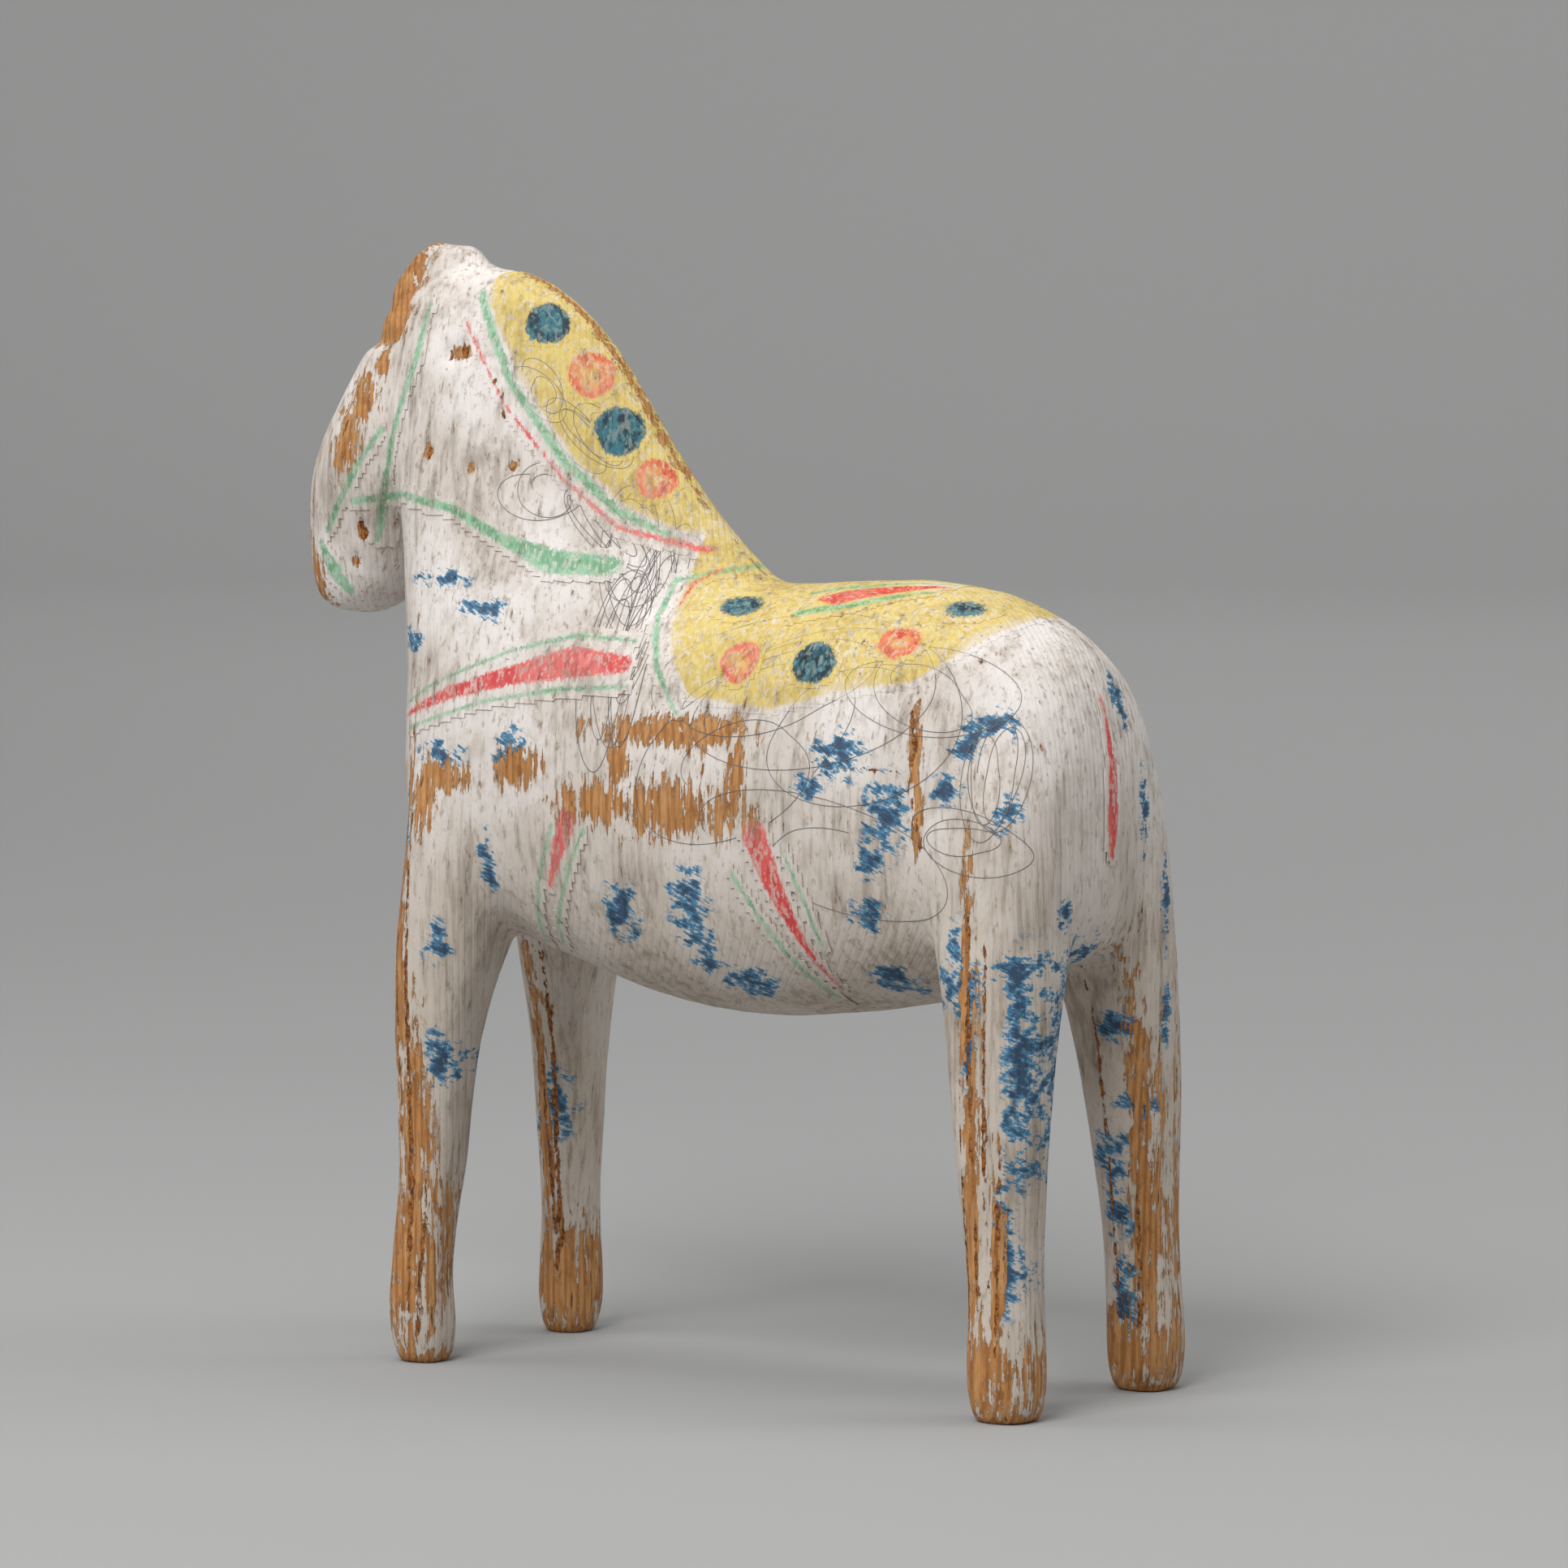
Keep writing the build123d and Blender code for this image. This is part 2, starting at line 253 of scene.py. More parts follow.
def linear(hex_colour: str) -> tuple[float, float, float, float]:
    """Turns an sRGB hex colour to linear.

    Args:
        hex_colour: six hex digits after a hash.

    Returns:
        Linear red, green, blue and an alpha of one.
    """
    parts = [int(hex_colour[i:i + 2], 16) / 255 for i in (1, 3, 5)]
    red, green, blue = [c / 12.92 if c <= 0.04045 else ((c + 0.055) / 1.055) ** 2.4 for c in parts]
    return red, green, blue, 1.0


@dataclass(frozen=True)
class Step:
    """A kind of shader node as this finish uses it.

    Args:
        kind: the node's type name.
        settings: properties and their values.
        inputs: which of its inputs are given, in the order that they are given in.
        output: the output that it is used for.
    """

    kind: str
    settings: tuple[tuple[str, str], ...] = ()
    inputs: tuple[int | str, ...] = (0, 1)
    output: int | str = 0


PRODUCT = Step("ShaderNodeMath", (("operation", "MULTIPLY"),))
LARGER = Step("ShaderNodeMath", (("operation", "MAXIMUM"),))
DIFFERENCE = Step("ShaderNodeMath", (("operation", "SUBTRACT"),))
# First value times the third, plus the second
SUM = Step("ShaderNodeMath", (("operation", "MULTIPLY_ADD"),), (0, 2, 1))
# From zero at the second value to the fourth at the third
SOFT_STEP = Step("ShaderNodeMapRange", (("interpolation_type", "SMOOTHSTEP"),), (0, 1, 2, 4))
RANGE = Step("ShaderNodeMapRange", (), (0, 1, 2, 3, 4))
# Amount, colour under, colour over
COAT = Step("ShaderNodeMix", (("data_type", "RGBA"),), (0, 6, 7), 2)
STAIN = Step("ShaderNodeMix", (("data_type", "RGBA"), ("blend_type", "MULTIPLY")), (0, 6, 7), 2)
PLACED = Step("ShaderNodeMapping", (), ("Vector", "Location", "Scale"))
BRUSHED = Step("ShaderNodeMapping", (("vector_type", "TEXTURE"),), ("Vector", "Rotation", "Scale"))
SPOTS = Step("ShaderNodeTexNoise", (), ("Vector", "Scale", "Detail", "Roughness"), "Fac")
RINGS = Step("ShaderNodeTexWave", (("wave_type", "RINGS"), ("rings_direction", "Z")),
             ("Vector", "Scale", "Distortion", "Detail", "Detail Scale"), "Fac")
BUMP = Step("ShaderNodeBump", (), ("Height", "Strength", "Distance"))
SURFACE = Step("ShaderNodeBsdfPrincipled", (),
               ("Base Color", "Roughness", "Normal", "IOR", "Specular IOR Level"))


def add_node(tree: bpy.types.NodeTree, step: Step, *values: Value) -> bpy.types.NodeSocket:
    """Adds a node with its settings and its inputs.

    Args:
        tree: the material's node tree.
        step: the kind of node and its settings.
        values: a socket to link or a plain value for each input that the step names.

    Returns:
        The output that the step is used for.
    """
    made = tree.nodes.new(step.kind)
    for name, setting in step.settings:
        setattr(made, name, setting)
    for place, value in zip(step.inputs, values):
        if isinstance(value, bpy.types.NodeSocket):
            tree.links.new(value, made.inputs[place])
        else:
            made.inputs[place].default_value = value
    return made.outputs[step.output]


def ramp(values: np.ndarray, start: float, length: float) -> np.ndarray:
    """Makes a straight slope between zero and one.

    Args:
        values: where to read it.
        start: the value at which it leaves zero.
        length: how far on it reaches one, negative to rise towards lower values.

    Returns:
        Its height at each value.
    """
    return np.clip((values - start) / length, 0, 1)


def hump(values: np.ndarray, middle: float, reach: float) -> np.ndarray:
    """Makes a peak of one with straight sides.

    Args:
        values: where to read it.
        middle: the value of the peak.
        reach: how far from the peak it is zero.

    Returns:
        Its height at each value.
    """
    return np.clip(1 - np.abs(values - middle) / reach, 0, 1)


def ellipse_field(places: np.ndarray, heights: np.ndarray, blobs: tuple[Blob, ...]) -> np.ndarray:
    """Finds how deep each point is in the nearest ellipse.

    Args:
        places: first coordinate of each point, in mm.
        heights: second coordinate of each point, in mm.
        blobs: the ellipses: middle, length and height.

    Returns:
        One at a middle, 0.5 at a rim and zero well outside.
    """
    best = np.zeros(len(places))
    for a, b, length, height in blobs:
        away = np.hypot((places - a) / (length / 2), (heights - b) / (height / 2))
        best = np.maximum(best, np.clip(1 - away / 2, 0, 1))
    return best


def stroke_depth(a: np.ndarray, b: np.ndarray, stroke: Stroke) -> np.ndarray:
    """Measures how far inside a brush stroke each point is.

    Args:
        a: first coordinate of each point, in mm.
        b: second coordinate of each point, in mm.
        stroke: points along the stroke, each with its half width.

    Returns:
        Distance in mm inside its edge, negative outside it.
    """
    best = np.full(len(a), -99.0)
    for (a0, b0, h0), (a1, b1, h1) in zip(stroke, stroke[1:]):
        run_a, run_b = a1 - a0, b1 - b0
        t = np.clip(((a - a0) * run_a + (b - b0) * run_b) / (run_a**2 + run_b**2), 0, 1)
        away = np.hypot(a - a0 - t * run_a, b - b0 - t * run_b)
        best = np.maximum(best, h0 + (h1 - h0) * t - away)
    return best


def panel_depth(x: np.ndarray, z: np.ndarray, edge: tuple[tuple[float, float], ...]) -> np.ndarray:
    """Measures how far inside a panel each point is. The panel fills everything above its lower edge.

    Args:
        x: how far forward each point is, in mm.
        z: height of each point, in mm.
        edge: points along the lower edge.

    Returns:
        Distance in mm inside the panel, negative outside it.
    """
    line = tuple((a, b, 0.0) for a, b in edge)
    away = -stroke_depth(x, z, line)
    loop = [*edge, (edge[-1][0], 999.0), (edge[0][0], 999.0)]
    inside = np.zeros(len(x), bool)
    for (x0, z0), (x1, z1) in zip(loop, loop[1:] + loop[:1]):
        if z0 == z1:
            continue
        crosses = (z0 > z) != (z1 > z)
        inside ^= crosses & (x < x0 + (z - z0) * (x1 - x0) / (z1 - z0))
    return np.where(inside, away, -away)


def mark_depth(mark: Mark, side: Side, at: np.ndarray, facing: np.ndarray) -> np.ndarray:
    """Distance in mm inside a painted mark on one side, negative outside it.

    Args:
        mark: the mark.
        side: the side of the horse.
        at: points in mm, measured from midway between the feet.
        facing: surface normals there.

    Returns:
        One distance for each point.
    """
    x, y, z = at.T
    if mark.view is View.SIDE:
        a, b, shown = x, z, np.ones(len(x), bool) if side is Side.BOTH else y * side.value > -0.5
    elif mark.view is View.BACK:
        a, b, shown = x, y, facing[:, 2] > 0.2
    else:
        a, b, shown = y, z, (facing[:, 0] < -0.2) & (x < -50)
    depth = np.full(len(x), -99.0)
    for stroke in mark.strokes:
        depth = np.maximum(depth, stroke_depth(a, b, stroke))
    for place, height, length, tall in mark.blobs:
        near = shown & (np.hypot(a - place, b - height) < 1.5)
        across = np.abs(y[near]).mean() if near.any() else 20.0
        round_off = np.hypot((a - place) / length, (np.abs(y) - across) / max(length, tall))
        away = np.hypot(round_off, (b - height) / tall) * 2
        wobble = 0.04 * np.sin(3 * np.arctan2(b - height, a - place) + place)
        depth = np.maximum(depth, (1 - away + wobble) * min(length, tall) / 2)
    if mark.panel:
        depth = np.maximum(depth, panel_depth(x, z, mark.panel))
    return np.where(shown, depth, -99.0)


class PaintedPine:
    """Old pine under worn distemper: the wood, the ground and the colours as one layered finish."""

    @staticmethod
    def write_fields(mesh: bpy.types.Mesh) -> None:
        """Stores at every vertex how deep it lies in each colour and how worn it is.

        Args:
            mesh: the mesh to store it in.
        """
        count = len(mesh.vertices)
        at, facing = np.empty(count * 3), np.empty(count * 3)
        mesh.vertices.foreach_get("co", at)
        mesh.vertices.foreach_get("normal", facing)
        at = at.reshape(-1, 3) / MM + (MIDDLE_X, 0, 0)
        facing = facing.reshape(-1, 3)
        x, y, z = at.T
        left = y > 0
        fields = {paint.name.lower(): np.full(count, -3.0) for paint in Paint}
        fields["ring"] = np.zeros(count)
        for mark in MARKS:
            for side in mark.sides:
                depth = mark_depth(mark, side, at, facing)
                name = mark.paint.name.lower()
                fields[name] = np.maximum(fields[name], np.clip(depth, -3, 3))
                if mark.ring:
                    fields["ring"] = np.maximum(fields["ring"], np.clip(depth / 3.2, 0, 1))
        dabs = np.where(left, ellipse_field(x, z, DABS_LEFT), ellipse_field(x, z, DABS_RIGHT))
        behind = (x < -50) & (facing[:, 0] < -0.4)
        fields["dabs"] = np.where(behind, np.maximum(dabs, ellipse_field(y, z, DABS_RUMP)), dabs)
        bare = np.where(left, ellipse_field(x, z, BARE_LEFT), ellipse_field(x, z, BARE_RIGHT))
        forelock = ramp(x, 72, 10) * ramp(z, 182, 4) * 1.4
        nose = ramp(x, 96.5, 5) * ramp(z, 130, 4) * 0.9
        soles = ramp(z, 4, -4)
        crest = hump(y, 0, 3) * ramp(z, 150, 12) * ramp(x, 62, -6) * 0.8
        fields["bare"] = np.clip(np.maximum.reduce([bare, forelock, nose, soles, crest]), 0, 1)
        # Drying cracks, and painted shade in the pits on the left
        cracks_and_pit_shade = [np.where(left == near, stroke_depth(x, z, line), -9.0)
                  for near, lines in ((True, CRACKS_AND_PIT_SHADE_LEFT), (False, CRACKS_RIGHT)) for line in lines]
        fields["cracks_and_pit_shade"] = np.clip(np.maximum.reduce(cracks_and_pit_shade), -3, 3)
        for name, values in fields.items():
            layer = mesh.attributes.get(name) or mesh.attributes.new(name, "FLOAT", "POINT")
            layer.data.foreach_set("value", values.astype(np.float32))

    def make(self, name: str) -> bpy.types.Material:
        """Builds the layered material.

        Args:
            name: the material's name.

        Returns:
            The material.
        """
        material = bpy.data.materials.new(name)
        material.use_nodes = True
        tree = material.node_tree
        tree.nodes.clear()
        add = partial(add_node, tree)
        place = add(Step("ShaderNodeTexCoord", output="Object"))
        field = {stored: add(Step("ShaderNodeAttribute", (("attribute_name", stored),), output="Fac"))
                 for stored in ("bare", "cracks_and_pit_shade", "dabs", "ring", *(paint.name.lower() for paint in Paint))}

        def spots(size: tuple[float, float, float], detail: float, shift: float = 0.0,
                  rough: float = 0.6) -> bpy.types.NodeSocket:
            """Makes an uneven pattern of a real size.

            Args:
                size: length of its grains along each axis, in mm.
                detail: how many finer sizes are in it.
                shift: an offset that makes it differ from the others.
                rough: how strong the finer sizes are.

            Returns:
                Its strength at each place.
            """
            scale = tuple(1 / (length * MM) for length in size)
            return add(SPOTS, add(PLACED, place, (shift,) * 3, scale), 1.0, detail, rough)

        # Slow-grown pine: rings about 1 mm apart, seen as upright lines, golden with dark late wood
        centred = add(PLACED, place, (0.14, 0.11, 0), (1, 1, 0.05))
        rings = add(RINGS, centred, 270.0, 1.2, 3.0, 0.5)
        fibre = spots((0.5, 0.5, 9.0), 3.0)
        streak = spots((1.5, 1.5, 16.0), 4.0, 3.0)
        fleck = spots((2.6, 2.6, 4.0), 5.0, 7.0, 0.65)
        cloud = spots((16.0, 16.0, 22.0), 3.0, 11.0)
        nick = spots((1.3, 1.3, 3.4), 4.0, 19.0, 0.7)
        fine = spots((0.55, 0.55, 0.8), 3.0, 23.0, 0.65)
        dry = spots((0.8, 0.8, 2.2), 3.0, 29.0)
        grain = add(SOFT_STEP, rings, 0.45, 0.95)
        wood = add(COAT, add(PRODUCT, grain, 0.6), linear("#BF8850"), linear("#83522B"))
        wood = add(COAT, add(SOFT_STEP, fibre, 0.42, 0.62, 0.6), wood, linear("#99653A"))
        wood = add(COAT, add(SOFT_STEP, fleck, 0.5, 0.66, 0.6), wood, linear("#7D4E28"))
        wood = add(COAT, add(SOFT_STEP, streak, 0.52, 0.62, 0.35), wood, linear("#D2A574"))
        split = add(SOFT_STEP, streak, 0.66, 0.72)
        wood = add(COAT, add(PRODUCT, split, 0.8), wood, linear("#3B2312"))

        # Wear: the bare field, broken up by upright streaks and flecks, and nicks all over
        shreds = add(SUM, streak, add(SUM, fibre, add(SUM, nick, -1.35, 1.3), 1.0), 1.3)
        worn = add(SUM, field["bare"], add(SUM, shreds, 0.0, 0.95), 0.8)
        wear = add(SOFT_STEP, worn, 0.82, 0.88)
        nicks = add(SOFT_STEP, add(SUM, streak, nick, 0.6), 1.12, 1.15)
        bare = add(LARGER, wear, nicks)
        paint_left = add(DIFFERENCE, 1.0, bare)

        # Distemper ground: chalky off-white, yellowed and grimy in the brush marks
        ground = add(COAT, add(SOFT_STEP, cloud, 0.35, 0.65), linear("#E6DFDA"), linear("#D2C8BF"))
        ground = add(COAT, add(SOFT_STEP, fleck, 0.48, 0.68, 0.5), ground, linear("#BFB3A6"))
        ground = add(COAT, add(SOFT_STEP, add(SUM, nick, dry, 0.5), 0.82, 0.95, 0.6), ground,
                     linear("#94836E"))
        ground = add(COAT, add(SOFT_STEP, worn, 0.66, 0.90, 0.6), ground, linear("#B39675"))
        # Darker and greyer towards the bottom: grime, and painted shade where the lower body and legs lie in
        # shadow
        height = add(Step("ShaderNodeSeparateXYZ", inputs=(0,), output="Z"), place)
        low_grime_and_shade = add(SOFT_STEP, height, 0.13, 0.06, 0.55)
        ground = add(COAT, low_grime_and_shade, ground, linear("#AFA08D"))

        colour = ground
        cover = add(SUM, dry, add(SUM, fine, -0.8, 0.6), 1.0)
        for paint, hues, strength in (
            (Paint.YELLOW, ("#D9C064", "#C8AC4C"), 0.88),
            (Paint.GREEN, ("#86C199", "#3F9560"), 0.8),
            (Paint.RED, ("#DC4A45", "#C9262A"), 0.93),
            (Paint.BLUE, ("#35707F", "#0E2B3D"), 0.98),
        ):
            depth = add(SUM, cover, field[paint.name.lower()], 2.4)
            laid = add(SOFT_STEP, depth, -0.15, 0.45, strength)
            gaps = add(SOFT_STEP, add(SUM, streak, add(SUM, dry, cover, 0.9), 0.9), 0.92, 1.12)
            laid = add(PRODUCT, laid, add(SUM, gaps, 1.0, -0.25 if paint is Paint.BLUE else -0.6))
            hue = add(COAT, add(SOFT_STEP, add(SUM, dry, fleck, 0.6), 0.68, 0.9), linear(hues[1]),
                      linear(hues[0]))
            if paint is Paint.YELLOW:
                thick = add(SUM, cloud, add(PRODUCT, field["yellow"], 0.07), 1.0)
                laid = add(PRODUCT, laid, add(SUM, add(SOFT_STEP, thick, 0.42, 0.62), 0.45, 0.55))
            if paint is Paint.RED:
                thin = add(PRODUCT, field["ring"], add(SOFT_STEP, fleck, 0.35, 0.55))
                laid = add(PRODUCT, laid, add(SUM, thin, 1.0, -0.75))
                hue = add(COAT, add(SOFT_STEP, cloud, 0.42, 0.6, 0.3), hue, linear("#EFA8A0"))
            colour = add(COAT, laid, colour, hue)

        # Blue dabs: stippled with a coarse dry brush, dark where it was loaded
        slanted = add(BRUSHED, place, (0.0, -0.45, 0.0), (2.2 * MM, 1.4 * MM, 0.5 * MM))
        bristles = add(SPOTS, slanted, 1.0, 4.0, 0.7)
        clumps = spots((3.0, 3.0, 2.4), 3.0, 41.0)
        load = add(SUM, bristles, add(SUM, clumps, add(SUM, field["dabs"], -1.88, 0.75), 2.0), 1.6)
        dabbed = add(PRODUCT, add(SOFT_STEP, load, 0.30, 0.38, 0.93),
                     add(SOFT_STEP, field["dabs"], 0.2, 0.42))
        colour = add(COAT, dabbed, colour,
                     add(COAT, add(SOFT_STEP, load, 0.36, 0.72), linear("#4189B0"), linear("#123F60")))

        grime = add(SOFT_STEP, add(SUM, cloud, streak, 0.6), 0.78, 1.0, 0.4)
        colour = add(STAIN, grime, colour, linear("#8E8271"))
        colour = add(COAT, bare, colour, wood)

        # Dark wood in the drying cracks, and painted shade in the pits of the neck and the cheek
        crack_and_pit_field = add(SUM, nick, add(SUM, dry, add(SUM, field["cracks_and_pit_shade"], -1.4, 1.0), 1.2), 1.5)
        crack_and_pit_shade = add(SOFT_STEP, crack_and_pit_field, -0.05, 0.15)
        colour = add(COAT, crack_and_pit_shade, colour,
                     add(COAT, add(SOFT_STEP, fine, 0.4, 0.6), linear("#A3652F"), linear("#5A3516")))
        paint_left = add(SUM, crack_and_pit_shade, paint_left, -0.9)
        relief = add(SUM, paint_left, add(SUM, streak, add(PRODUCT, split, -0.8), 0.5), 0.9)
        relief = add(SUM, fine, add(SUM, grain, relief, -0.25), 0.35)
        bump = add(BUMP, relief, 0.9, 0.22 * MM)
        rough = add(RANGE, fleck, 0.3, 0.7, 0.5, 0.75)
        shader = add(SURFACE, colour, rough, bump, 1.45, 0.3)
        tree.links.new(shader, tree.nodes.new("ShaderNodeOutputMaterial").inputs["Surface"])
        return material


@dataclass(frozen=True)
class Pencil:
    """Soft graphite: a grey line with a slight shine."""

    colour: str = "#716D6B"
    roughness: float = 0.5

    def make(self) -> bpy.types.Material:
        """Builds the graphite material."""
        material = bpy.data.materials.new("graphite")
        material.use_nodes = True
        shader = material.node_tree.nodes["Principled BSDF"]
        shader.inputs["Base Color"].default_value = linear(self.colour)
        shader.inputs["Roughness"].default_value = self.roughness
        return material


def baked(source: bpy.types.Object, name: str) -> bpy.types.Object:
    """Applies an object's modifiers and replaces it with the result.

    Args:
        source: the object, which is removed.
        name: name of the new object.

    Returns:
        The new object.
    """
    mesh = bpy.data.meshes.new_from_object(source.evaluated_get(bpy.context.evaluated_depsgraph_get()))
    bpy.data.objects.remove(source)
    mesh.name = name
    made = bpy.data.objects.new(name, mesh)
    bpy.context.scene.collection.objects.link(made)
    return made


@dataclass
class CarvedBody:
    """The carved block: body, neck, head, forelock and legs in one piece of pine.

    Args:
        voxel: size of the remeshed faces, in mm.
        passes: smoothing passes that take the edge off the knife cuts.
        facet: depth of the knife facets, in mm.
    """

    voxel: float = 0.85
    passes: int = 4
    facet: float = 0.2

    def build(self, block: bpy.types.Object) -> bpy.types.Object:
        """Remeshes the block finely, blends its forms together and carves its detail.

        Args:
            block: the CAD node.

        Returns:
            The finished piece.
        """
        work = bmesh.new()
        work.from_mesh(block.data)
        bmesh.ops.remove_doubles(work, verts=work.verts, dist=0.01 * MM)
        mesh = bpy.data.meshes.new("rough")
        work.to_mesh(mesh)
        work.free()
        rough = bpy.data.objects.new("rough", mesh)
        bpy.context.scene.collection.objects.link(rough)
        remesh = rough.modifiers.new("remesh", "REMESH")
        remesh.mode = "VOXEL"
        remesh.voxel_size = self.voxel * MM
        piece = baked(rough, "pine_horse")
        self.shape(piece.data)
        piece.data.shade_smooth()
        return piece

    def shape(self, mesh: bpy.types.Mesh) -> None:
        """Smooths the joins, then cuts facets, pits and grooves by moving vertices.

        Args:
            mesh: the body's mesh.
        """
        count = len(mesh.vertices)
        at = np.empty(count * 3)
        mesh.vertices.foreach_get("co", at)
        at = at.reshape(-1, 3)
        ends = np.empty(len(mesh.edges) * 2, np.int64)
        mesh.edges.foreach_get("vertices", ends)
        ends = ends.reshape(-1, 2)
        degree = np.bincount(ends.ravel(), minlength=count)[:, None]
        x, y, z = (at / MM + (MIDDLE_X, 0, 0)).T
        joins = self.join_weight(x, y, z)[:, None]
        for turn in range(self.passes * 16):
            total = np.zeros_like(at)
            for axis in range(3):
                total[:, axis] = np.bincount(ends[:, 0], at[ends[:, 1], axis], count)
                total[:, axis] += np.bincount(ends[:, 1], at[ends[:, 0], axis], count)
            share = 0.5 if turn < self.passes else 0.5 * joins
            at += (total / degree - at) * share
        mesh.vertices.foreach_set("co", at.ravel())
        mesh.update()
        facing = np.empty(count * 3)
        mesh.vertices.foreach_get("normal", facing)
        facing = facing.reshape(-1, 3)
        at += facing * self.relief(at / MM + (MIDDLE_X, 0, 0))[:, None] * MM
        at[:, 2] = np.maximum(at[:, 2], 0)
        mesh.vertices.foreach_set("co", at.ravel())
        mesh.update()

    @staticmethod
    def join_weight(x: np.ndarray, y: np.ndarray, z: np.ndarray) -> np.ndarray:
        """Finds where neck, head and legs run into the body.

        Args:
            x: how far forward each point is, in mm.
            y: how far left each point is, in mm.
            z: height of each point, in mm.

        Returns:
            How much each point is blended, from zero to one.
        """
        withers = hump(z, 140, 16) * np.clip((x + 14) / 12, 0, 1) * ramp(x, 78, -6)
        hips = hump(z, 102, 26) * np.clip((np.abs(x) - 34) / 8, 0, 1)
        cheek = np.clip(1 - np.hypot((x - 78) / 9, (z - 168) / 26), 0, 1) * 0.6
        poll = np.clip(1 - np.hypot((x - 61) / 8, (z - 195) / 6), 0, 1)
        return np.clip(np.maximum.reduce([withers, hips, cheek, poll]) * 1.6, 0, 1)

    def relief(self, at: np.ndarray) -> np.ndarray:
        """Makes the depth of the knife work.

        Args:
            at: the points, in mm.

        Returns:
            Depth at each point, in mm, negative inwards.
        """
        x, y, z = at.T
        relief = np.array([
            noise.noise(Vector((a / 9, b / 9, c / 14)))
            + 0.5 * noise.noise(Vector((a / 4, b / 4, c / 9)))
            for a, b, c in at
        ]) * self.facet
        grooves = ramp(x, 73, 4) * ramp(z, 184, 4)
        relief += grooves * (np.abs(np.sin(6.5 * np.arctan2(y, x - 71) + 0.12 * z)) - 0.75) * 1.5
        knob = ramp(x, 76, 5) * np.exp(-((z - 192) / 4.5) ** 2)
        notch = ramp(x, 78, 4) * np.exp(-((z - 184.5) / 1.8) ** 2)
        relief += 1.1 * knob - 1.3 * notch
        left = y > 0
        for place, height, radius, depth in PITS:
            away = np.hypot((x - place) / radius, (z - height) / (radius * 1.6))
            relief -= np.where(left, depth * np.exp(-away**2 * 1.4), 0)
        seam = np.exp(-((x - 79.5 - 0.03 * (z - 150)) / 1.5) ** 2) * ramp(z, 184, -8) * ramp(z, 138, 6)
        return relief - 0.5 * seam


@dataclass
class PaintedMarks:
    """Every brushed mark, each a thin film laid on the carving.

    Args:
        margin: ground left round a mark so that its ragged edge fits, in mm.
        lift: how proud the film stands, in mm.
        depth: how deep its edges go into the ground, in mm.
    """

    margin: float = 1.4
    lift: float = 0.05
    depth: float = 0.12

    def film(self, body: bpy.types.Mesh, mark: Mark, side: Side, layer: int) -> bpy.types.Object:
        """Lifts a mark's part of the surface off the body as a closed thin film.

        Args:
            body: the finished body's mesh.
            mark: the mark.
            side: which side of the horse.
            layer: its place in the order of painting, later ones lie higher.

        Returns:
            The film.
        """
        work = bmesh.new()
        work.from_mesh(body)
        at = np.array([v.co for v in work.verts]) / MM + (MIDDLE_X, 0, 0)
        facing = np.array([v.normal for v in work.verts])
        kept = mark_depth(mark, side, at, facing) > -self.margin
        away = [face for face in work.faces if not all(kept[v.index] for v in face.verts)]
        bmesh.ops.delete(work, geom=away, context="FACES")
        cuts = 1 if mark.panel or mark.blobs else 3
        bmesh.ops.subdivide_edges(work, edges=work.edges, cuts=cuts, use_grid_fill=True)
        work.normal_update()
        for vert in work.verts:
            vert.co += vert.normal * (self.lift + 0.012 * layer) * MM
        mesh = bpy.data.meshes.new("film")
        work.to_mesh(mesh)
        work.free()
        rough = bpy.data.objects.new("film", mesh)
        bpy.context.scene.collection.objects.link(rough)
        wall = rough.modifiers.new("wall", "SOLIDIFY")
        wall.thickness = (self.lift + self.depth) * MM
        wall.offset = -1
        piece = baked(rough, mark.node(side))
        piece.data.shade_smooth()
        piece.data.set_sharp_from_angle(angle=math.radians(50))
        return piece


